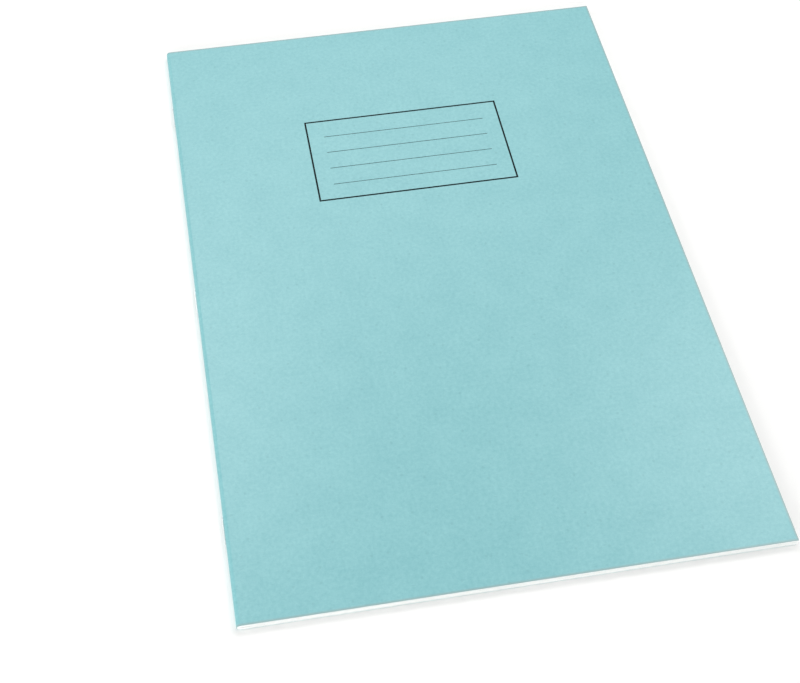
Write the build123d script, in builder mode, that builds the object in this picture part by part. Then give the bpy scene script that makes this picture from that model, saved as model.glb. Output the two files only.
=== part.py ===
from build123d import *
import os

# Stapled A4 exercise book: nested folded sheets in a card cover, held at the spine by three wire staples.
# +X runs from the spine to the fore edge, +Y from the tail to the head and +Z up through the closed book.
# The fold line, about which every leaf turns, runs along Y at mid thickness.

# Whole book, closed, in mm
width = 210.0  # spine nose to fore edge
height = 297.0  # tail to head

# Paper and card
sheet_count = 16  # folded sheets, each with a front and a back leaf
paper = 0.085
card = 0.20
air = 0.005  # between neighbouring leaves, and between the outer leaves and the cover

# Staples
wire = 0.40  # diameter
crown = 12.0  # over the outsides of the legs
cut_gap = 2.6  # between the two clinched ends
head_inset = 42.3  # from the head edge to the first crown's middle
tail_inset = 39.2  # from the tail edge to the last crown's middle
clinch_gap = 0.04  # from the clinched wire to the innermost fold
leg_gap = 0.02  # around a leg in its hole
crown_gap = 0.01  # between the crown and the spine
crease_gap = 0.04  # flat leaves start this far beyond the crown's reach

# Layers round the fold line
pitch = paper + air
centre_radius = wire / 2 + clinch_gap
block_radius = centre_radius + (sheet_count - 1) * pitch + paper
cover_inner = block_radius + air
spine_radius = cover_inner + card

# Places that follow from them
crown_reach = crown_gap + wire
lip = crown_reach + crease_gap
fold_x = -(width + crown_reach) / 2 + crown_reach + spine_radius
fold_z = spine_radius
fore_x = fold_x - spine_radius + width
leaf_length = fore_x - fold_x - lip
leaf_middle = fore_x - leaf_length / 2
crown_x = fold_x - spine_radius - crown_gap - wire / 2
leg_offset = (crown - wire) / 2
bend = wire / 2 + crown_gap  # on the wire's middle line, so that a bend ends where the wire meets the card
head_row = height / 2 - head_inset
tail_row = tail_inset - height / 2
staples = {"head_staple": head_row, "middle_staple": (head_row + tail_row) / 2, "tail_staple": tail_row}
leg_rows = [row + side * leg_offset for row in staples.values() for side in (-1, 1)]

across_fold = Plane(origin=(fold_x, 0, fold_z), x_dir=(1, 0, 0), z_dir=(0, -1, 0))
along_legs = Plane(origin=(fold_x, 0, fold_z), x_dir=(0, 1, 0), z_dir=(-1, 0, 0))

# Flat panels, by underside and thickness, and the folded strips that join them, by inner radius and thickness
panels = {"front_cover": (fold_z + cover_inner, card), "back_cover": (fold_z - spine_radius, card)}
strips = {"cover_spine": (cover_inner, card)}
for number in range(1, sheet_count + 1):
    inner = centre_radius + (sheet_count - number) * pitch
    panels[f"sheet_{number:02d}_front_leaf"] = (fold_z + inner, paper)
    panels[f"sheet_{number:02d}_back_leaf"] = (fold_z - inner - paper, paper)
    strips[f"sheet_{number:02d}_fold"] = (inner, paper)

os.makedirs("parts", exist_ok=True)

# Cover panels and leaves, cut flush at the head, tail and fore edge
for name, (underside, thickness) in panels.items():
    with BuildPart() as panel:
        with BuildSketch(Plane.XY.offset(underside)):
            with Locations((leaf_middle, 0)):
                Rectangle(leaf_length, height)
        extrude(amount=thickness)
    panel.part.label = name
    export_step(panel.part, f"parts/{name}.step")

# Folds: a half round with a short flat lip on each side, and a hole for each staple leg
for name, (inner, thickness) in strips.items():
    outer = inner + thickness
    with BuildPart() as strip:
        with BuildSketch(across_fold):
            with BuildLine():
                Line((lip, outer), (0, outer))
                ThreePointArc((0, outer), (-outer, 0), (0, -outer))
                Line((0, -outer), (lip, -outer))
                Line((lip, -outer), (lip, -inner))
                Line((lip, -inner), (0, -inner))
                ThreePointArc((0, -inner), (-inner, 0), (0, inner))
                Line((0, inner), (lip, inner))
                Line((lip, inner), (lip, outer))
            make_face()
        extrude(amount=height / 2, both=True)
        with BuildSketch(along_legs):
            with Locations(*[(row, 0) for row in leg_rows]):
                Circle(wire / 2 + leg_gap)
        extrude(amount=spine_radius + wire, mode=Mode.SUBTRACT)
    strip.part.label = name
    export_step(strip.part, f"parts/{name}.step")

# Staples: crown outside the spine, legs through every fold, ends clinched towards each other on the fold line
for name, row in staples.items():
    with BuildPart() as staple:
        with BuildLine(Plane.XY.offset(fold_z)) as path:
            FilletPolyline(
                (fold_x, row - cut_gap / 2),
                (fold_x, row - leg_offset),
                (crown_x, row - leg_offset),
                (crown_x, row + leg_offset),
                (fold_x, row + leg_offset),
                (fold_x, row + cut_gap / 2),
                radius=bend,
            )
        with BuildSketch(Plane(origin=path.line @ 0, z_dir=path.line % 0)):
            Circle(wire / 2)
        sweep()
    staple.part.label = name
    export_step(staple.part, f"parts/{name}.step")
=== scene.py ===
import math

import bmesh
import bpy
from mathutils import Matrix, Vector


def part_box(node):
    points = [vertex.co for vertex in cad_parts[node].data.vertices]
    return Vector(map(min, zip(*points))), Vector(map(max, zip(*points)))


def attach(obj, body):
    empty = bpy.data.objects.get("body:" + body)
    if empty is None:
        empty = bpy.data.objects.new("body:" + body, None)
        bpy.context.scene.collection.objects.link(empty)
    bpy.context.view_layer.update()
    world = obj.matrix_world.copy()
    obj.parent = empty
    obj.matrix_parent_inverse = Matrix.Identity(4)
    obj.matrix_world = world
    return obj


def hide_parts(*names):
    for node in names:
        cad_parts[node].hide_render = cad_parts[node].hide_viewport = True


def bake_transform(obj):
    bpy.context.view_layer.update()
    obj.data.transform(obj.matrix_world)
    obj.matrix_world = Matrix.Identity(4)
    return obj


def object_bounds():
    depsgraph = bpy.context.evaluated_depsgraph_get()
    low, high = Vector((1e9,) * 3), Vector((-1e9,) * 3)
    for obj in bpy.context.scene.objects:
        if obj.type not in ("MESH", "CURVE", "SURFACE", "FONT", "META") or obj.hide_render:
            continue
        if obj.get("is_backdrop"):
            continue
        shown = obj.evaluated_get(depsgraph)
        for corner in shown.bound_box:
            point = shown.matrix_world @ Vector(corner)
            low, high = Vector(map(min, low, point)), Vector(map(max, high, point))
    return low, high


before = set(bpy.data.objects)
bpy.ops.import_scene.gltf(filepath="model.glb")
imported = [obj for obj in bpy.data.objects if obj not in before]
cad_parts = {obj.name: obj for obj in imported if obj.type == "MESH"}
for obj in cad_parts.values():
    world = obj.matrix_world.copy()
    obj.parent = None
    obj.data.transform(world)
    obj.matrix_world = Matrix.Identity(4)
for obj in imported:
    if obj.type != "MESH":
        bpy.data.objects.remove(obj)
cadLow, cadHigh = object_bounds()
scene = bpy.context.scene
mm = 0.001  # lengths in the settings are in mm, unless a note says otherwise
weld = 0.001 * mm  # points closer than this become one
fibreIor = 1.5  # of paper, card and ink
pureWhite = (1.0, 1.0, 1.0, 1.0)

# the folded edge and the trimmed size, read from the frame
spineLow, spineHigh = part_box("cover_spine")
coverLow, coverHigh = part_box("front_cover")
spineRadius = (spineHigh.z - spineLow.z) / 2
foldX = spineLow.x + spineRadius
foldZ = (spineLow.z + spineHigh.z) / 2
foreX = coverHigh.x
headY = coverHigh.y
cardThickness = coverHigh.z - coverLow.z
quarterTurn = math.pi / 2 * (spineRadius - cardThickness / 2)  # along the card, from the nose to the flat
cardHalf = quarterTurn + foreX - foldX  # along the card, from the nose to the fore edge
sheetCount = sum(name.endswith("_fold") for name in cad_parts)
print("frame loaded:", len(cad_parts), "nodes,", sheetCount, "sheets")


def toLinear(code):
    parts = [int(code[i:i + 2], 16) / 255 for i in (1, 3, 5)]
    return [c / 12.92 if c <= 0.04045 else ((c + 0.055) / 1.055) ** 2.4 for c in parts] + [1.0]


def addNode(tree, kind, links=None, **settings):  # a Mix node's colours are inputs 6 and 7 and output 2
    made = tree.nodes.new(kind)
    for name, value in settings.items():
        setattr(made, name, value)
    for socket, source in (links or {}).items():
        if isinstance(source, bpy.types.NodeSocket):
            tree.links.new(source, made.inputs[socket])
        else:
            made.inputs[socket].default_value = source
    return made


def startMaterial(name):
    material = bpy.data.materials.new(name)
    material.use_nodes = True
    material.node_tree.nodes.clear()
    return material, material.node_tree


def perMetre(size):  # a pattern of this size in mm, as a texture scale
    return 1000 / size


cardFinish = {
    "deep": "#78B7BD", "pale": "#8EC9CD",
    "grain": 1.6, "grainDetail": 4.0, "grainRough": 0.75, "grainShow": 0.5,
    "cloud": 14.0, "cloudDetail": 2.0, "cloudShow": 0.15,
    "spread": (0.25, 0.75),  # most of a noise's values lie between these
    "fibreDark": "#679DA4", "fibrePale": "#A8D6D9",
    "fibreLayers": (  # turn in radians, shift and colour
        (0.5, 0.0, "fibreDark"),
        (-1.1, 3.0, "fibrePale"),
        (1.9, 7.0, "fibreDark"),
    ),
    "fibreLong": 2.4, "fibreWide": 0.3,  # coarser than real pulp, so that they show
    "fibreDetail": 1.0, "fibreWave": 0.4,
    "fibrePick": (0.68, 0.8), "fibreShow": 0.35,
    "speck": "#5E979D", "speckWide": 1.6, "speckApart": 8.0, "speckPick": 0.5, "speckShow": 0.2,
    # painted shade along the trimmed edges: its colour, width and strength
    "edgeShade": "#94ADAD", "edgeShadeWide": 1.2, "edgeShadeShow": 0.9,
    "roughness": 0.34, "tooth": 0.03, "toothShow": 0.25,
}


def manilaCard(finish):
    # pulp card dyed in the mass and lightly calendered: cloudy, with short fibres and specks,
    # and a broad faint sheen
    material, tree = startMaterial("manilaCard")
    place = addNode(tree, "ShaderNodeUVMap", uv_map="cardMap").outputs["UV"]
    grain = addNode(tree, "ShaderNodeTexNoise", {
        "Vector": place, "Scale": perMetre(finish["grain"]),
        "Detail": finish["grainDetail"], "Roughness": finish["grainRough"]}).outputs["Fac"]
    cloud = addNode(tree, "ShaderNodeTexNoise", {
        "Vector": place, "Scale": perMetre(finish["cloud"]), "Detail": finish["cloudDetail"]}).outputs["Fac"]
    low, high = finish["spread"]
    grainPart = addNode(tree, "ShaderNodeMapRange", {
        "Value": grain, "From Min": low, "From Max": high,
        "To Min": -finish["grainShow"], "To Max": finish["grainShow"]})
    cloudPart = addNode(tree, "ShaderNodeMapRange", {
        "Value": cloud, "From Min": low, "From Max": high,
        "To Min": 0.5 - finish["cloudShow"], "To Max": 0.5 + finish["cloudShow"]})
    blend = addNode(tree, "ShaderNodeMath", {
        0: grainPart.outputs[0], 1: cloudPart.outputs[0]}, operation="ADD", use_clamp=True)
    colour = addNode(tree, "ShaderNodeMix", {
        0: blend.outputs[0], 6: toLinear(finish["deep"]), 7: toLinear(finish["pale"])},
        data_type="RGBA").outputs[2]
    # stray fibres, laid three ways
    low, high = finish["fibrePick"]
    for turn, shift, code in finish["fibreLayers"]:
        laid = addNode(tree, "ShaderNodeMapping", {
            "Vector": place, "Location": (shift, shift, 0), "Rotation": (0, 0, turn),
            "Scale": (perMetre(finish["fibreLong"]), perMetre(finish["fibreWide"]), 1)})
        strand = addNode(tree, "ShaderNodeTexNoise", {
            "Vector": laid.outputs[0], "Scale": 1.0,
            "Detail": finish["fibreDetail"], "Distortion": finish["fibreWave"]})
        seen = addNode(tree, "ShaderNodeMapRange", {
            "Value": strand.outputs["Fac"], "From Min": low, "From Max": high,
            "To Min": 0.0, "To Max": finish["fibreShow"]})
        colour = addNode(tree, "ShaderNodeMix", {
            0: seen.outputs[0], 6: colour, 7: toLinear(finish[code])}, data_type="RGBA").outputs[2]
    # pulp specks, one in about half of the cells
    cells = addNode(tree, "ShaderNodeTexVoronoi", {
        "Vector": place, "Scale": perMetre(finish["speckApart"])}, voronoi_dimensions="2D")
    speckReach = finish["speckWide"] / 2 / finish["speckApart"]
    inside = addNode(tree, "ShaderNodeMapRange", {
        "Value": cells.outputs["Distance"], "From Min": speckReach / 3, "From Max": speckReach,
        "To Min": finish["speckShow"], "To Max": 0.0}, interpolation_type="SMOOTHSTEP")
    chosen = addNode(tree, "ShaderNodeMath", {
        0: cells.outputs["Color"], 1: finish["speckPick"]}, operation="GREATER_THAN")
    speck = addNode(tree, "ShaderNodeMath", {
        0: inside.outputs[0], 1: chosen.outputs[0]}, operation="MULTIPLY")
    colour = addNode(tree, "ShaderNodeMix", {
        0: speck.outputs[0], 6: colour, 7: toLinear(finish["speck"])}, data_type="RGBA").outputs[2]
    # painted shade: the card is greyed towards the trimmed edges, standing in for the shade at the cut edge
    apart = addNode(tree, "ShaderNodeSeparateXYZ", {0: place})
    aside = addNode(tree, "ShaderNodeMath", {0: apart.outputs[0]}, operation="ABSOLUTE")
    along = addNode(tree, "ShaderNodeMath", {0: apart.outputs[1]}, operation="ABSOLUTE")
    toFore = addNode(tree, "ShaderNodeMath", {0: cardHalf, 1: aside.outputs[0]}, operation="SUBTRACT")
    toHead = addNode(tree, "ShaderNodeMath", {0: headY, 1: along.outputs[0]}, operation="SUBTRACT")
    nearest = addNode(tree, "ShaderNodeMath", {
        0: toFore.outputs[0], 1: toHead.outputs[0]}, operation="MINIMUM")
    edgeShade = addNode(tree, "ShaderNodeMapRange", {
        "Value": nearest.outputs[0], "From Min": 0.0, "From Max": finish["edgeShadeWide"] * mm,
        "To Min": finish["edgeShadeShow"], "To Max": 0.0}, interpolation_type="SMOOTHSTEP")
    colour = addNode(tree, "ShaderNodeMix", {
        0: edgeShade.outputs[0], 6: colour, 7: toLinear(finish["edgeShade"])}, data_type="RGBA").outputs[2]
    tooth = addNode(tree, "ShaderNodeBump", {
        "Height": grain, "Strength": finish["toothShow"], "Distance": finish["tooth"] * mm})
    surface = addNode(tree, "ShaderNodeBsdfPrincipled", {
        "Base Color": colour, "Roughness": finish["roughness"], "IOR": fibreIor, "Normal": tooth.outputs[0]})
    addNode(tree, "ShaderNodeOutputMaterial", {"Surface": surface.outputs[0]})
    return material


pageFinish = {
    "shade": "#E4E8E5", "white": "#ECEFED", "grain": 1.2, "grainDetail": 3.0, "grainRough": 0.65,
    "feint": "#9DB6CB", "margin": "#D79494",
    "pitch": 8.0, "firstLine": 27.0, "lastLine": 283.0, "marginIn": 22.0,
    "inkReach": 0.7, "inkShow": 0.55,  # lines softer and wider than printed, so that every one shows
    "roughness": 0.7, "tooth": 0.02, "toothShow": 0.15,
}


def woodfreePaper(finish):
    # smooth uncoated writing paper: bright dull white, faintly cloudy, with feint lines and a margin
    material, tree = startMaterial("woodfreePaper")
    place = addNode(tree, "ShaderNodeUVMap", uv_map="pageMap").outputs["UV"]
    apart = addNode(tree, "ShaderNodeSeparateXYZ", {0: place})
    grain = addNode(tree, "ShaderNodeTexNoise", {
        "Vector": place, "Scale": perMetre(finish["grain"]),
        "Detail": finish["grainDetail"], "Roughness": finish["grainRough"]}).outputs["Fac"]
    colour = addNode(tree, "ShaderNodeMix", {
        0: grain, 6: toLinear(finish["shade"]), 7: toLinear(finish["white"])}, data_type="RGBA").outputs[2]
    # feint lines from below the head space down to the tail
    halfPitch = finish["pitch"] / 2 * mm
    down = addNode(tree, "ShaderNodeMath", {0: headY, 1: apart.outputs[1]}, operation="SUBTRACT")
    below = addNode(tree, "ShaderNodeMath", {
        0: down.outputs[0], 1: finish["firstLine"] * mm}, operation="SUBTRACT")
    offLine = addNode(tree, "ShaderNodeMath", {0: below.outputs[0], 1: halfPitch}, operation="PINGPONG")
    inked = addNode(tree, "ShaderNodeMapRange", {
        "Value": offLine.outputs[0], "From Min": 0.0, "From Max": finish["inkReach"] * mm,
        "To Min": finish["inkShow"], "To Max": 0.0})
    pastHead = addNode(tree, "ShaderNodeMath", {0: below.outputs[0], 1: -halfPitch}, operation="GREATER_THAN")
    aboveTail = addNode(tree, "ShaderNodeMath", {
        0: down.outputs[0], 1: finish["lastLine"] * mm + halfPitch}, operation="LESS_THAN")
    ruled = addNode(tree, "ShaderNodeMath", {
        0: inked.outputs[0], 1: pastHead.outputs[0]}, operation="MULTIPLY")
    ruled = addNode(tree, "ShaderNodeMath", {
        0: ruled.outputs[0], 1: aboveTail.outputs[0]}, operation="MULTIPLY")
    colour = addNode(tree, "ShaderNodeMix", {
        0: ruled.outputs[0], 6: colour, 7: toLinear(finish["feint"])}, data_type="RGBA").outputs[2]
    # one margin down the left of each page
    for pageLeft in (0.0, foldX - foreX):
        aside = addNode(tree, "ShaderNodeMath", {
            0: apart.outputs[0], 1: pageLeft + finish["marginIn"] * mm}, operation="SUBTRACT")
        away = addNode(tree, "ShaderNodeMath", {0: aside.outputs[0]}, operation="ABSOLUTE")
        inked = addNode(tree, "ShaderNodeMapRange", {
            "Value": away.outputs[0], "From Min": 0.0, "From Max": finish["inkReach"] * mm,
            "To Min": finish["inkShow"], "To Max": 0.0})
        colour = addNode(tree, "ShaderNodeMix", {
            0: inked.outputs[0], 6: colour, 7: toLinear(finish["margin"])}, data_type="RGBA").outputs[2]
    tooth = addNode(tree, "ShaderNodeBump", {
        "Height": grain, "Strength": finish["toothShow"], "Distance": finish["tooth"] * mm})
    surface = addNode(tree, "ShaderNodeBsdfPrincipled", {
        "Base Color": colour, "Roughness": finish["roughness"], "IOR": fibreIor, "Normal": tooth.outputs[0]})
    addNode(tree, "ShaderNodeOutputMaterial", {"Surface": surface.outputs[0]})
    return material


# the guillotined edge of the card: pressed layers of pulp, greyer and duller than the face
cardCutFinish = {
    "deep": "#7FA9AE", "pale": "#A7CDD0", "layer": 0.07, "run": 1.6, "detail": 2.0,
    "spread": (0.0, 1.0), "roughness": 0.85,
}
# the trimmed edges of the leaves: dull white, each leaf a little lighter or darker than the next
pageCutFinish = {
    "deep": "#DFE8E4", "pale": "#FFFFFF", "layer": 0.12, "run": 60.0, "detail": 2.0,
    "spread": (0.3, 0.6), "roughness": 0.85,
}


def cutEdge(name, finish):  # flat layers, drawn out along the edge
    material, tree = startMaterial(name)
    place = addNode(tree, "ShaderNodeTexCoord").outputs["Object"]
    alongEdge, throughEdge = perMetre(finish["run"]), perMetre(finish["layer"])
    laid = addNode(tree, "ShaderNodeMapping", {"Vector": place, "Scale": (alongEdge, alongEdge, throughEdge)})
    layers = addNode(tree, "ShaderNodeTexNoise", {
        "Vector": laid.outputs[0], "Scale": 1.0, "Detail": finish["detail"]})
    low, high = finish["spread"]
    shade = addNode(tree, "ShaderNodeMapRange", {
        "Value": layers.outputs["Fac"], "From Min": low, "From Max": high, "To Min": 0.0, "To Max": 1.0})
    tone = addNode(tree, "ShaderNodeMix", {
        0: shade.outputs[0], 6: toLinear(finish["deep"]), 7: toLinear(finish["pale"])}, data_type="RGBA")
    surface = addNode(tree, "ShaderNodeBsdfPrincipled", {
        "Base Color": tone.outputs[2], "Roughness": finish["roughness"], "IOR": fibreIor})
    addNode(tree, "ShaderNodeOutputMaterial", {"Surface": surface.outputs[0]})
    return material


wireFinish = {
    "dark": "#C2C5C7", "bright": "#EFF1F1", "streak": 2.5, "streaksAround": 14.0, "detail": 3.0,
    "spread": (0.3, 0.7), "smooth": 0.22, "rough": 0.4,
}


def tinnedSteel(finish):
    # tinned stitching wire: bright, with streaks left along it by the die, drawn coarse enough to show
    material, tree = startMaterial("tinnedSteel")
    place = addNode(tree, "ShaderNodeUVMap", uv_map="wireMap").outputs["UV"]
    laid = addNode(tree, "ShaderNodeMapping", {
        "Vector": place, "Scale": (perMetre(finish["streak"]), finish["streaksAround"], 1.0)})
    streak = addNode(tree, "ShaderNodeTexNoise", {
        "Vector": laid.outputs[0], "Scale": 1.0, "Detail": finish["detail"]}).outputs["Fac"]
    tone = addNode(tree, "ShaderNodeMix", {
        0: streak, 6: toLinear(finish["dark"]), 7: toLinear(finish["bright"])}, data_type="RGBA")
    low, high = finish["spread"]
    rough = addNode(tree, "ShaderNodeMapRange", {
        "Value": streak, "From Min": low, "From Max": high,
        "To Min": finish["smooth"], "To Max": finish["rough"]})
    surface = addNode(tree, "ShaderNodeBsdfPrincipled", {
        "Base Color": tone.outputs[2], "Metallic": 1.0, "Roughness": rough.outputs[0]})
    addNode(tree, "ShaderNodeOutputMaterial", {"Surface": surface.outputs[0]})
    return material


inkFinish = {
    "outlineInk": ("#06090A", 0.05), "ruleInk": ("#1E2A2E", 0.2),  # colour, and how far the card shows
    "card": "#86C3CA", "grain": 0.5, "detail": 2.0, "spread": (0.35, 0.75), "roughness": 0.8, "gloss": 0.15,
}


def printedInk(name, finish):
    # offset ink soaked into uncoated card: dense dull black, broken a little where the fibres stand up
    material, tree = startMaterial(name)
    code, through = finish[name]
    place = addNode(tree, "ShaderNodeTexCoord").outputs["Object"]
    grain = addNode(tree, "ShaderNodeTexNoise", {
        "Vector": place, "Scale": perMetre(finish["grain"]), "Detail": finish["detail"]})
    low, high = finish["spread"]
    bare = addNode(tree, "ShaderNodeMapRange", {
        "Value": grain.outputs["Fac"], "From Min": low, "From Max": high, "To Min": 0.0, "To Max": through})
    tone = addNode(tree, "ShaderNodeMix", {
        0: bare.outputs[0], 6: toLinear(code), 7: toLinear(finish["card"])}, data_type="RGBA")
    surface = addNode(tree, "ShaderNodeBsdfPrincipled", {
        "Base Color": tone.outputs[2], "Roughness": finish["roughness"], "IOR": fibreIor,
        "Specular IOR Level": finish["gloss"]})
    addNode(tree, "ShaderNodeOutputMaterial", {"Surface": surface.outputs[0]})
    return material


card = manilaCard(cardFinish)
cardCut = cutEdge("cutCard", cardCutFinish)
page = woodfreePaper(pageFinish)
pageCut = cutEdge("cutPaper", pageCutFinish)
wire = tinnedSteel(wireFinish)
outlineInk = printedInk("outlineInk", inkFinish)
ruleInk = printedInk("ruleInk", inkFinish)
print("materials made:", len(bpy.data.materials))


def startTree(name, sockets):
    tree = bpy.data.node_groups.new(name, "GeometryNodeTree")
    for label, kind in sockets.items():
        tree.interface.new_socket(name=label, in_out="INPUT", socket_type="NodeSocket" + kind)
    tree.interface.new_socket(name="Geometry", in_out="OUTPUT", socket_type="NodeSocketGeometry")
    return tree, addNode(tree, "NodeGroupInput").outputs


sharpFrom = 40.0  # degrees: steeper edges of a grown piece are shaded sharp


def grow(name, tree, values, start=None):  # run a tree on a new object and keep the result as a plain mesh
    piece = bpy.data.objects.new(name, start or bpy.data.meshes.new(name))
    scene.collection.objects.link(piece)
    modifier = piece.modifiers.new(tree.name, "NODES")
    modifier.node_group = tree
    for socket in tree.interface.items_tree:
        if socket.in_out == "INPUT" and socket.name in values:
            modifier[socket.identifier] = values[socket.name]
    graph = bpy.context.evaluated_depsgraph_get()
    made = bpy.data.meshes.new_from_object(
        piece.evaluated_get(graph), preserve_all_data_layers=True, depsgraph=graph)
    piece.modifiers.clear()
    old, piece.data = piece.data, made
    bpy.data.meshes.remove(old)
    made.name = name
    made.set_sharp_from_angle(angle=math.radians(sharpFrom))
    return piece


def foldedSheetTree(name, mapName, steps, mirrored):
    # one sheet folded once round the fold line: back leaf, half turn, front leaf
    tree, given = startTree(name, {
        "Leaf Length": "Float", "Inner Radius": "Float", "Thickness": "Float", "Height": "Float",
        "Settle": "Float", "Settle Reach": "Float", "Draw In": "Float",
        "Face": "Material", "Cut Edge": "Material"})
    columns = 2 * steps["leaf"] + steps["fold"]
    leafShare = steps["leaf"] / columns
    grid = addNode(tree, "GeometryNodeMeshGrid", {
        "Size X": 1.0, "Size Y": given["Height"], "Vertices X": columns + 1, "Vertices Y": 2})
    outside = addNode(tree, "GeometryNodeExtrudeMesh", {
        "Mesh": grid.outputs[0], "Offset Scale": 0.0, "Individual": False}, mode="FACES")
    inside = addNode(tree, "GeometryNodeFlipFaces", {0: grid.outputs[0]})
    both = addNode(tree, "GeometryNodeJoinGeometry", {0: inside.outputs[0]})
    tree.links.new(outside.outputs["Mesh"], both.inputs[0])
    top = outside.outputs["Top"]
    # how far each column lies along the back leaf, round the fold and along the front leaf
    spot = addNode(tree, "GeometryNodeInputPosition")
    apart = addNode(tree, "ShaderNodeSeparateXYZ", {0: spot.outputs[0]})
    share = addNode(tree, "ShaderNodeMath", {0: apart.outputs[0], 1: 0.5}, operation="ADD").outputs[0]
    turn = addNode(tree, "ShaderNodeMapRange", {
        "Value": share, "From Min": leafShare, "From Max": 1 - leafShare,
        "To Min": 0.0, "To Max": math.pi}).outputs[0]
    reaches = []
    for foldShare, foreShare in ((leafShare, 0.0), (1 - leafShare, 1.0)):
        leaf = addNode(tree, "ShaderNodeMapRange", {
            "Value": share, "From Min": foldShare, "From Max": foreShare, "To Min": 0.0, "To Max": 1.0})
        eased = addNode(tree, "ShaderNodeMath", {0: leaf.outputs[0], 1: steps["crowd"]}, operation="POWER")
        reaches.append(addNode(tree, "ShaderNodeMath", {
            0: eased.outputs[0], 1: given["Leaf Length"]}, operation="MULTIPLY").outputs[0])
    backReach, frontReach = reaches
    # the map: distance from the middle of the fold along the sheet, read from the left on either side of it
    middle = addNode(tree, "ShaderNodeMath", {
        0: given["Thickness"], 1: 0.5, 2: given["Inner Radius"]}, operation="MULTIPLY_ADD").outputs[0]
    past = addNode(tree, "ShaderNodeMath", {0: turn, 1: math.pi / 2}, operation="SUBTRACT").outputs[0]
    leaves = addNode(tree, "ShaderNodeMath", {0: frontReach, 1: backReach}, operation="SUBTRACT").outputs[0]
    reach = addNode(tree, "ShaderNodeMath", {
        0: past, 1: middle, 2: leaves}, operation="MULTIPLY_ADD").outputs[0]
    if mirrored:  # the inner side reads the other way
        side = addNode(tree, "ShaderNodeMath", {0: top, 1: 2.0, 2: -1.0}, operation="MULTIPLY_ADD").outputs[0]
        reach = addNode(tree, "ShaderNodeMath", {0: reach, 1: side}, operation="MULTIPLY").outputs[0]
    flatSpot = addNode(tree, "ShaderNodeCombineXYZ", {0: reach, 1: apart.outputs[1]})
    mapped = addNode(tree, "GeometryNodeStoreNamedAttribute", {
        "Geometry": both.outputs[0], "Name": mapName, "Value": flatSpot.outputs[0]},
        data_type="FLOAT2", domain="CORNER")
    # bend the flat grid round the fold line, with the leaves settling towards it past the fold
    flat = addNode(tree, "ShaderNodeMath", {0: frontReach, 1: backReach}, operation="ADD").outputs[0]
    settled = addNode(tree, "ShaderNodeMapRange", {
        "Value": flat, "From Min": 0.0, "From Max": given["Settle Reach"],
        "To Min": 0.0, "To Max": given["Settle"]}, interpolation_type="SMOOTHSTEP").outputs[0]
    radius = addNode(tree, "ShaderNodeMath", {
        0: top, 1: given["Thickness"], 2: given["Inner Radius"]}, operation="MULTIPLY_ADD").outputs[0]
    radius = addNode(tree, "ShaderNodeMath", {0: radius, 1: settled}, operation="SUBTRACT").outputs[0]
    sine = addNode(tree, "ShaderNodeMath", {0: turn}, operation="SINE").outputs[0]
    cosine = addNode(tree, "ShaderNodeMath", {0: turn}, operation="COSINE").outputs[0]
    out = addNode(tree, "ShaderNodeMath", {0: sine, 1: radius}, operation="MULTIPLY").outputs[0]
    across = addNode(tree, "ShaderNodeMath", {0: flat, 1: out}, operation="SUBTRACT").outputs[0]
    acrossX = addNode(tree, "ShaderNodeMath", {0: across, 1: foldX}, operation="ADD").outputs[0]
    drop = addNode(tree, "ShaderNodeMath", {0: cosine, 1: radius}, operation="MULTIPLY").outputs[0]
    upZ = addNode(tree, "ShaderNodeMath", {0: foldZ, 1: drop}, operation="SUBTRACT").outputs[0]
    # the nose of a fold is drawn in a little at head and tail
    nose = addNode(tree, "ShaderNodeMath", {0: sine, 1: sine}, operation="MULTIPLY").outputs[0]
    drawn = addNode(tree, "ShaderNodeMath", {0: nose, 1: given["Draw In"]}, operation="MULTIPLY").outputs[0]
    end = addNode(tree, "ShaderNodeMath", {0: apart.outputs[1]}, operation="SIGN").outputs[0]
    inward = addNode(tree, "ShaderNodeMath", {0: end, 1: drawn}, operation="MULTIPLY").outputs[0]
    alongY = addNode(tree, "ShaderNodeMath", {
        0: apart.outputs[1], 1: inward}, operation="SUBTRACT").outputs[0]
    folded = addNode(tree, "ShaderNodeCombineXYZ", {0: acrossX, 1: alongY, 2: upZ})
    placed = addNode(tree, "GeometryNodeSetPosition", {
        "Geometry": mapped.outputs[0], "Position": folded.outputs[0]})
    closed = addNode(tree, "GeometryNodeMergeByDistance", {"Geometry": placed.outputs[0], "Distance": weld})
    real = addNode(tree, "GeometryNodeRealizeInstances", {0: closed.outputs[0]})
    faced = addNode(tree, "GeometryNodeSetMaterial", {"Geometry": real.outputs[0], "Material": given["Face"]})
    edged = addNode(tree, "GeometryNodeSetMaterial", {
        "Geometry": faced.outputs[0], "Selection": outside.outputs["Side"], "Material": given["Cut Edge"]})
    addNode(tree, "NodeGroupOutput", {0: edged.outputs[0]})
    return tree


sheetShape = {
    "steps": {"leaf": 8, "fold": 24, "crowd": 4.0},  # the leaf's columns crowd towards the fold
    "middleGap": 0.04,  # the leaves spread evenly from here to the cover
    "settleReach": 6.0, "bendShare": 0.9, "drawIn": 0.06,
}
middleHalf = sheetShape["middleGap"] / 2 * mm
leafPitch = (coverLow.z - foldZ - middleHalf) / sheetCount
sheetTree = foldedSheetTree("foldedSheet", "pageMap", sheetShape["steps"], True)
for number in range(1, sheetCount + 1):
    label = f"sheet_{number:02d}"
    leafLow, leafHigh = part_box(label + "_front_leaf")
    inner = leafLow.z - foldZ
    settledInner = middleHalf + (sheetCount - number) * leafPitch
    sheet = grow(f"foldedSheet{number:02d}", sheetTree, {
        "Leaf Length": leafHigh.x - foldX, "Inner Radius": inner, "Thickness": leafHigh.z - leafLow.z,
        "Height": leafHigh.y - leafLow.y, "Draw In": sheetShape["drawIn"] * mm,
        "Settle": inner - settledInner, "Settle Reach": sheetShape["settleReach"] * mm,
        "Face": page, "Cut Edge": pageCut,
    })
    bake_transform(sheet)
    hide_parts(label + "_front_leaf", label + "_back_leaf", label + "_fold")
print("sheets folded:", sheetCount)
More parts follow.
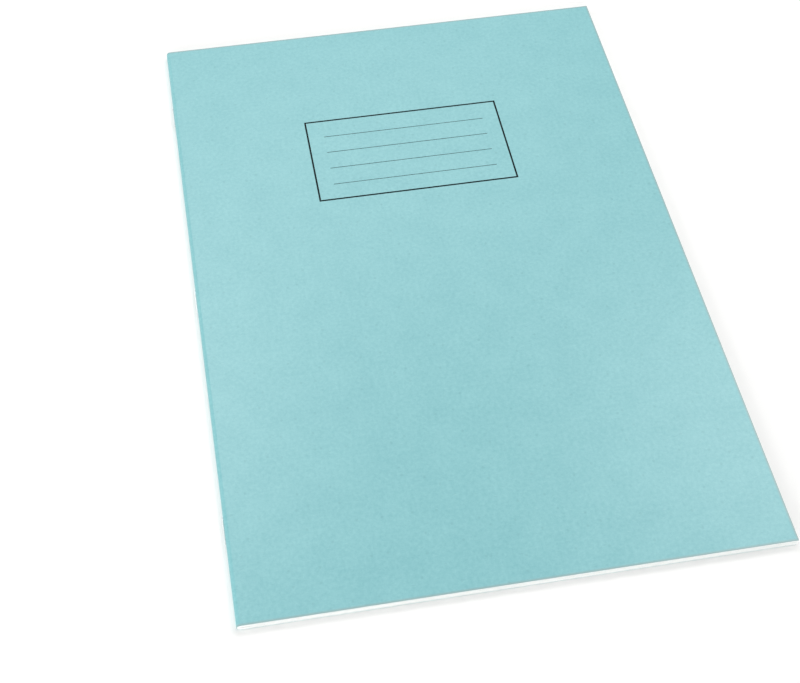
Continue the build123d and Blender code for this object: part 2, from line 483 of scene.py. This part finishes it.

# the cover: a folded spine strip with a card on each side of it
spineShape = {"steps": {"leaf": 1, "fold": 48, "crowd": 1.0}, "lip": 0.1, "bendIn": 0.08, "drawIn": 0.06}
lipX = foldX + spineShape["lip"] * mm
coverSpine = grow("coverSpine", foldedSheetTree("coverSpine", "cardMap", spineShape["steps"], False), {
    "Leaf Length": lipX - foldX, "Inner Radius": spineRadius - cardThickness, "Thickness": cardThickness,
    "Height": 2 * headY, "Draw In": spineShape["drawIn"] * mm, "Settle": 0.0, "Settle Reach": 1.0,
    "Face": card, "Cut Edge": cardCut,
})
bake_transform(coverSpine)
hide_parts("cover_spine")

panelShape = {
    "crease": 0.45, "creaseSteps": 8,  # the crease ends this far out from the fold line
    "corner": 0.2, "cornerSteps": 5, "rolled": 0.05, "rolledSteps": 3, "roundness": 0.5, "rim": 0.4,
    "edgeFrom": 60.0, "sharpFrom": 50.0,  # degrees
    "cutBelow": 0.5,  # faces that look up or down less than this are cut edges
}
creaseX = foldX + panelShape["crease"] * mm


def cardPanel(name, low, high, way, shape):
    # a flat card with the crease's columns by the spine and edges rolled over by the knife
    mesh = bmesh.new()
    tiny = 1e-7
    steep = math.radians(shape["edgeFrom"])
    rim, steps = shape["rim"] * mm, shape["creaseSteps"]
    columns = [lipX + (creaseX - lipX) * i / steps for i in range(steps + 1)] + [high.x - rim, high.x]
    lines = [low.y, low.y + rim, high.y - rim, high.y]
    rows = [[mesh.verts.new((x, y, low.z)) for x in columns] for y in lines]
    faces = [mesh.faces.new((near[i], far[i], far[i + 1], near[i + 1]))
             for near, far in zip(rows, rows[1:]) for i in range(len(columns) - 1)]
    raised = bmesh.ops.extrude_face_region(mesh, geom=faces, use_keep_orig=True)
    lifted = [v for v in raised["geom"] if isinstance(v, bmesh.types.BMVert)]
    bmesh.ops.translate(mesh, vec=(0, 0, high.z - low.z), verts=lifted)
    bmesh.ops.recalc_face_normals(mesh, faces=mesh.faces)
    corners = [e for e in mesh.edges if e.calc_face_angle(0) > steep
               and all(v.co.x > high.x - tiny for v in e.verts)
               and abs(e.verts[0].co.z - e.verts[1].co.z) > tiny]
    bmesh.ops.bevel(mesh, geom=corners, offset=shape["corner"] * mm, segments=shape["cornerSteps"],
                    profile=shape["roundness"], affect="EDGES")
    trimmed = [e for e in mesh.edges if e.calc_face_angle(0) > steep
               and max(v.co.x for v in e.verts) > lipX + tiny]
    bmesh.ops.bevel(mesh, geom=trimmed, offset=shape["rolled"] * mm, segments=shape["rolledSteps"],
                    profile=shape["roundness"], affect="EDGES")
    cardMap = mesh.loops.layers.uv.new("cardMap")
    for face in mesh.faces:
        face.smooth = True
        face.material_index = int(abs(face.normal.z) < shape["cutBelow"])
        for loop in face.loops:
            loop[cardMap].uv = (way * (loop.vert.co.x - foldX + quarterTurn), loop.vert.co.y)
    data = bpy.data.meshes.new(name)
    mesh.to_mesh(data)
    mesh.free()
    data.materials.append(card)
    data.materials.append(cardCut)
    data.set_sharp_from_angle(angle=math.radians(shape["sharpFrom"]))
    piece = bpy.data.objects.new(name, data)
    scene.collection.objects.link(piece)
    return piece


frontCover = cardPanel("frontCover", coverLow, coverHigh, 1, panelShape)
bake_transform(frontCover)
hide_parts("front_cover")
backCover = cardPanel("backCover", *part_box("back_cover"), -1, panelShape)
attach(backCover, "back_cover")
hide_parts("back_cover")
coverFaces = sum(len(piece.data.polygons) for piece in (frontCover, backCover, coverSpine))
print("cover made:", coverFaces, "faces")

# the printed name panel, by the middles of its lines
namePanel = {
    "left": -45.2, "right": 44.4, "foot": 43.3, "top": 91.2, "outline": 0.8,
    "ruleLeft": -37.8, "ruleRight": 36.9, "firstRule": 81.2, "lastRule": 52.1, "rules": 4, "rule": 0.3,
    "proud": 0.012, "sunk": 0.02,
}


def namePanelTree():
    tree, given = startTree("namePanel", {
        "Width": "Float", "Height": "Float", "Outline": "Float", "Depth": "Float", "Centre": "Vector",
        "Rules": "Int", "Rule Length": "Float", "Rule Width": "Float",
        "Rule Start": "Vector", "Rule Step": "Vector",
        "Outline Ink": "Material", "Rule Ink": "Material"})
    # the outline: a ring between two rectangles, half a line either side of the middle
    nested = addNode(tree, "GeometryNodeJoinGeometry")
    for lines in (1.0, -1.0):
        wide = addNode(tree, "ShaderNodeMath", {
            0: given["Outline"], 1: lines, 2: given["Width"]}, operation="MULTIPLY_ADD")
        high = addNode(tree, "ShaderNodeMath", {
            0: given["Outline"], 1: lines, 2: given["Height"]}, operation="MULTIPLY_ADD")
        border = addNode(tree, "GeometryNodeCurvePrimitiveQuadrilateral", {
            "Width": wide.outputs[0], "Height": high.outputs[0]})
        tree.links.new(border.outputs[0], nested.inputs[0])
    ring = addNode(tree, "GeometryNodeFillCurve", {0: nested.outputs[0]})
    ringTop = addNode(tree, "GeometryNodeExtrudeMesh", {
        "Mesh": ring.outputs[0], "Offset": (0.0, 0.0, 1.0), "Offset Scale": given["Depth"],
        "Individual": False}, mode="FACES")
    ringFoot = addNode(tree, "GeometryNodeFlipFaces", {0: ring.outputs[0]})
    outline = addNode(tree, "GeometryNodeJoinGeometry", {0: ringFoot.outputs[0]})
    tree.links.new(ringTop.outputs["Mesh"], outline.inputs[0])
    closed = addNode(tree, "GeometryNodeMergeByDistance", {"Geometry": outline.outputs[0], "Distance": weld})
    laid = addNode(tree, "GeometryNodeTransform", {
        "Geometry": closed.outputs[0], "Translation": given["Centre"]})
    inked = addNode(tree, "GeometryNodeSetMaterial", {
        "Geometry": laid.outputs[0], "Material": given["Outline Ink"]})
    # the writing lines: one bar repeated down the panel
    size = addNode(tree, "ShaderNodeCombineXYZ", {
        0: given["Rule Length"], 1: given["Rule Width"], 2: given["Depth"]})
    bar = addNode(tree, "GeometryNodeMeshCube", {"Size": size.outputs[0]})
    rows = addNode(tree, "GeometryNodeMeshLine", {
        "Count": given["Rules"], "Start Location": given["Rule Start"], "Offset": given["Rule Step"]},
        mode="OFFSET")
    bars = addNode(tree, "GeometryNodeInstanceOnPoints", {
        "Points": rows.outputs[0], "Instance": bar.outputs[0]})
    real = addNode(tree, "GeometryNodeRealizeInstances", {0: bars.outputs[0]})
    ruled = addNode(tree, "GeometryNodeSetMaterial", {
        "Geometry": real.outputs[0], "Material": given["Rule Ink"]})
    both = addNode(tree, "GeometryNodeJoinGeometry", {0: ruled.outputs[0]})
    tree.links.new(inked.outputs[0], both.inputs[0])
    addNode(tree, "NodeGroupOutput", {0: both.outputs[0]})
    return tree


inkFoot = coverHigh.z - namePanel["sunk"] * mm
inkTop = coverHigh.z + namePanel["proud"] * mm
panelX = (namePanel["left"] + namePanel["right"]) / 2
panelY = (namePanel["foot"] + namePanel["top"]) / 2
ruleX = (namePanel["ruleLeft"] + namePanel["ruleRight"]) / 2
ruleStep = (namePanel["lastRule"] - namePanel["firstRule"]) / (namePanel["rules"] - 1)
panelPrint = grow("namePanel", namePanelTree(), {
    "Width": (namePanel["right"] - namePanel["left"]) * mm,
    "Height": (namePanel["top"] - namePanel["foot"]) * mm,
    "Outline": namePanel["outline"] * mm, "Depth": inkTop - inkFoot,
    "Centre": (panelX * mm, panelY * mm, inkFoot),
    "Rules": namePanel["rules"], "Rule Width": namePanel["rule"] * mm,
    "Rule Length": (namePanel["ruleRight"] - namePanel["ruleLeft"]) * mm,
    "Rule Start": (ruleX * mm, namePanel["firstRule"] * mm, (inkFoot + inkTop) / 2),
    "Rule Step": (0.0, ruleStep * mm, 0.0),
    "Outline Ink": outlineInk, "Rule Ink": ruleInk,
})
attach(panelPrint, "front_cover")
print("name panel printed:", len(panelPrint.data.polygons), "faces")

stapleShape = {"cutGap": 2.6, "bend": 0.21, "bendSteps": 8, "around": 16}


def stapleTree():
    tree, given = startTree("stitchedWire", {
        "Geometry": "Geometry", "Bend Radius": "Float", "Bend Steps": "Int", "Wire Radius": "Float",
        "Around": "Int", "Wire": "Material"})
    path = addNode(tree, "GeometryNodeMeshToCurve", {"Mesh": given["Geometry"]})
    bent = addNode(tree, "GeometryNodeFilletCurve", {
        "Curve": path.outputs[0], "Count": given["Bend Steps"], "Radius": given["Bend Radius"],
        "Limit Radius": True}, mode="POLY")
    section = addNode(tree, "GeometryNodeCurvePrimitiveCircle", {
        "Resolution": given["Around"], "Radius": given["Wire Radius"]})
    # the map: length along the wire, share of the way round it
    kept = []
    for curve, measure in ((bent, "Length"), (section, "Factor")):
        keep = addNode(tree, "GeometryNodeCaptureAttribute", {"Geometry": curve.outputs[0]}, domain="POINT")
        keep.capture_items.new("FLOAT", measure)
        tree.links.new(addNode(tree, "GeometryNodeSplineParameter").outputs[measure], keep.inputs[measure])
        kept.append(keep.outputs)
    drawn = addNode(tree, "GeometryNodeCurveToMesh", {
        "Curve": kept[0]["Geometry"], "Profile Curve": kept[1]["Geometry"], "Fill Caps": True})
    spot = addNode(tree, "ShaderNodeCombineXYZ", {0: kept[0]["Length"], 1: kept[1]["Factor"]})
    mapped = addNode(tree, "GeometryNodeStoreNamedAttribute", {
        "Geometry": drawn.outputs[0], "Name": "wireMap", "Value": spot.outputs[0]},
        data_type="FLOAT2", domain="CORNER")
    real = addNode(tree, "GeometryNodeRealizeInstances", {0: mapped.outputs[0]})
    steel = addNode(tree, "GeometryNodeSetMaterial", {"Geometry": real.outputs[0], "Material": given["Wire"]})
    addNode(tree, "NodeGroupOutput", {0: steel.outputs[0]})
    return tree


# each staple's route: from one clinched end round the crown to the other
stapleNodes = [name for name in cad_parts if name.endswith("_staple")]
endY = stapleShape["cutGap"] / 2 * mm
route = []
runs = []
for name in stapleNodes:
    low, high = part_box(name)
    wireRadius = (high.z - low.z) / 2
    middleY = (low.y + high.y) / 2
    legY = (high.y - low.y) / 2 - wireRadius
    crownX = low.x + wireRadius
    turns = ((foldX, -endY), (foldX, -legY), (crownX, -legY), (crownX, legY), (foldX, legY), (foldX, endY))
    runs += [(len(route) + i, len(route) + i + 1) for i in range(len(turns) - 1)]
    route += [(x, middleY + y, foldZ) for x, y in turns]
stapleRoute = bpy.data.meshes.new("stapleRoute")
stapleRoute.from_pydata(route, runs, [])
staples = grow("staples", stapleTree(), {
    "Bend Radius": stapleShape["bend"] * mm, "Bend Steps": stapleShape["bendSteps"],
    "Wire Radius": wireRadius, "Around": stapleShape["around"], "Wire": wire,
}, stapleRoute)
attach(staples, "spine")
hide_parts(*stapleNodes)
print("staples bent:", len(staples.data.polygons), "faces")

# floor, light and camera
studio = {  # lengths in metres
    "roomLight": 0.34, "floor": "#F8F8F7", "floorLift": 0.09,
    "floorReach": 4.0, "floorGap": 0.02 * mm, "floorFade": (0.28, 0.6),
    "lamps": {  # place, width, depth, power and whether surfaces mirror it
        "rightSoftbox": ((0.586, 0.386, 0.974), 0.46, 0.3, 3.05, True),
        "leftSoftbox": ((-0.221, 0.566, 1.035), 0.3, 0.41, 2.65, True),
        "backStrip": ((0.073, 0.827, 0.866), 0.68, 0.35, 1.9, True),
        "frontFill": ((-0.45, -1.33, 0.48), 1.2, 0.5, 12.5, False),
        "leftFill": ((-1.6, 0.1, 0.5), 0.75, 1.35, 10.0, False),
        "rightFill": ((1.5, 0.1, 0.2), 0.5, 0.3, 3.5, False),
    },
}
photoCamera = {  # roll in degrees, clip in metres
    "place": (-95.28, -330.27, 440.38), "aim": (-46.52, -33.14, 3.76), "roll": 0.063,
    "lens": 58.216, "sensor": 36.0, "shiftX": 0.06839, "clip": (0.01, 50.0),
}


def seenDirectly(tree):  # 1 for the eye, also by way of metal or glass, and 0 for light on its way
    ray = addNode(tree, "ShaderNodeLightPath").outputs
    clear = addNode(tree, "ShaderNodeMath", {
        0: ray["Is Camera Ray"], 1: ray["Is Transmission Ray"]}, operation="MAXIMUM")
    return addNode(tree, "ShaderNodeMath", {
        0: clear.outputs[0], 1: ray["Is Glossy Ray"]}, operation="MAXIMUM").outputs[0]


def whiteRoom(light):
    world = bpy.data.worlds.new("whiteRoom")
    world.use_nodes = True
    tree = world.node_tree
    tree.nodes.clear()
    strength = addNode(tree, "ShaderNodeMapRange", {
        "Value": seenDirectly(tree), "To Min": light, "To Max": 1.0})
    walls = addNode(tree, "ShaderNodeBackground", {"Color": pureWhite, "Strength": strength.outputs[0]})
    addNode(tree, "ShaderNodeOutputWorld", {"Surface": walls.outputs[0]})
    return world


def paperSweep(finish):
    # white background paper: lifted a little for the eye, and plain white further off
    material, tree = startMaterial("paperSweep")
    seen = seenDirectly(tree)
    dull = addNode(tree, "ShaderNodeBsdfDiffuse", {"Color": toLinear(finish["floor"])})
    lift = addNode(tree, "ShaderNodeMath", {0: seen, 1: finish["floorLift"]}, operation="MULTIPLY")
    glow = addNode(tree, "ShaderNodeEmission", {"Color": pureWhite, "Strength": lift.outputs[0]})
    near = addNode(tree, "ShaderNodeAddShader", {0: dull.outputs[0], 1: glow.outputs[0]})
    plain = addNode(tree, "ShaderNodeEmission", {"Color": pureWhite, "Strength": 1.0})
    place = addNode(tree, "ShaderNodeTexCoord").outputs["Object"]
    away = addNode(tree, "ShaderNodeVectorMath", {0: place}, operation="LENGTH")
    low, high = finish["floorFade"]
    far = addNode(tree, "ShaderNodeMapRange", {
        "Value": away.outputs["Value"], "From Min": low, "From Max": high, "To Min": 0.0, "To Max": 1.0},
        interpolation_type="SMOOTHSTEP")
    fade = addNode(tree, "ShaderNodeMath", {0: far.outputs[0], 1: seen}, operation="MULTIPLY")
    ground = addNode(tree, "ShaderNodeMixShader", {
        0: fade.outputs[0], 1: near.outputs[0], 2: plain.outputs[0]})
    addNode(tree, "ShaderNodeOutputMaterial", {"Surface": ground.outputs[0]})
    return material


def aimed(place, target, roll=0.0):  # stand a lamp or the camera at a place, looking at a target
    turn = (target - place).to_track_quat("-Z", "Y").to_matrix() @ Matrix.Rotation(roll, 3, "Z")
    return Matrix.Translation(place) @ turn.to_4x4()


scene.world = whiteRoom(studio["roomLight"])
reach = studio["floorReach"]
floorZ = cadLow.z - studio["floorGap"]
floorMesh = bpy.data.meshes.new("floor")
floorCorners = [(x * reach, y * reach, floorZ) for x, y in ((-1, -1), (1, -1), (1, 1), (-1, 1))]
floorMesh.from_pydata(floorCorners, [], [(0, 1, 2, 3)])
floorMesh.materials.append(paperSweep(studio))
floor = bpy.data.objects.new("floor", floorMesh)
scene.collection.objects.link(floor)
floor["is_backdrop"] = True

for name, (place, wide, deep, power, mirrored) in studio["lamps"].items():
    light = bpy.data.lights.new(name, "AREA")
    light.shape = "RECTANGLE"
    light.size = wide
    light.size_y = deep
    light.energy = power
    lamp = bpy.data.objects.new(name, light)
    lamp.matrix_world = aimed(Vector(place), Vector((0, 0, 0)))
    lamp.visible_glossy = mirrored
    scene.collection.objects.link(lamp)

lens = bpy.data.cameras.new("photoCamera")
lens.lens = photoCamera["lens"]
lens.sensor_width = photoCamera["sensor"]
lens.shift_x = photoCamera["shiftX"]
lens.clip_start, lens.clip_end = photoCamera["clip"]
camera = bpy.data.objects.new("photoCamera", lens)
cameraPlace = Vector(photoCamera["place"]) * mm
camera.matrix_world = aimed(cameraPlace, Vector(photoCamera["aim"]) * mm, math.radians(photoCamera["roll"]))
scene.collection.objects.link(camera)
scene.camera = camera
scene.view_settings.view_transform = "Standard"
print("studio set:", len(studio["lamps"]), "lamps")

low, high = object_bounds()
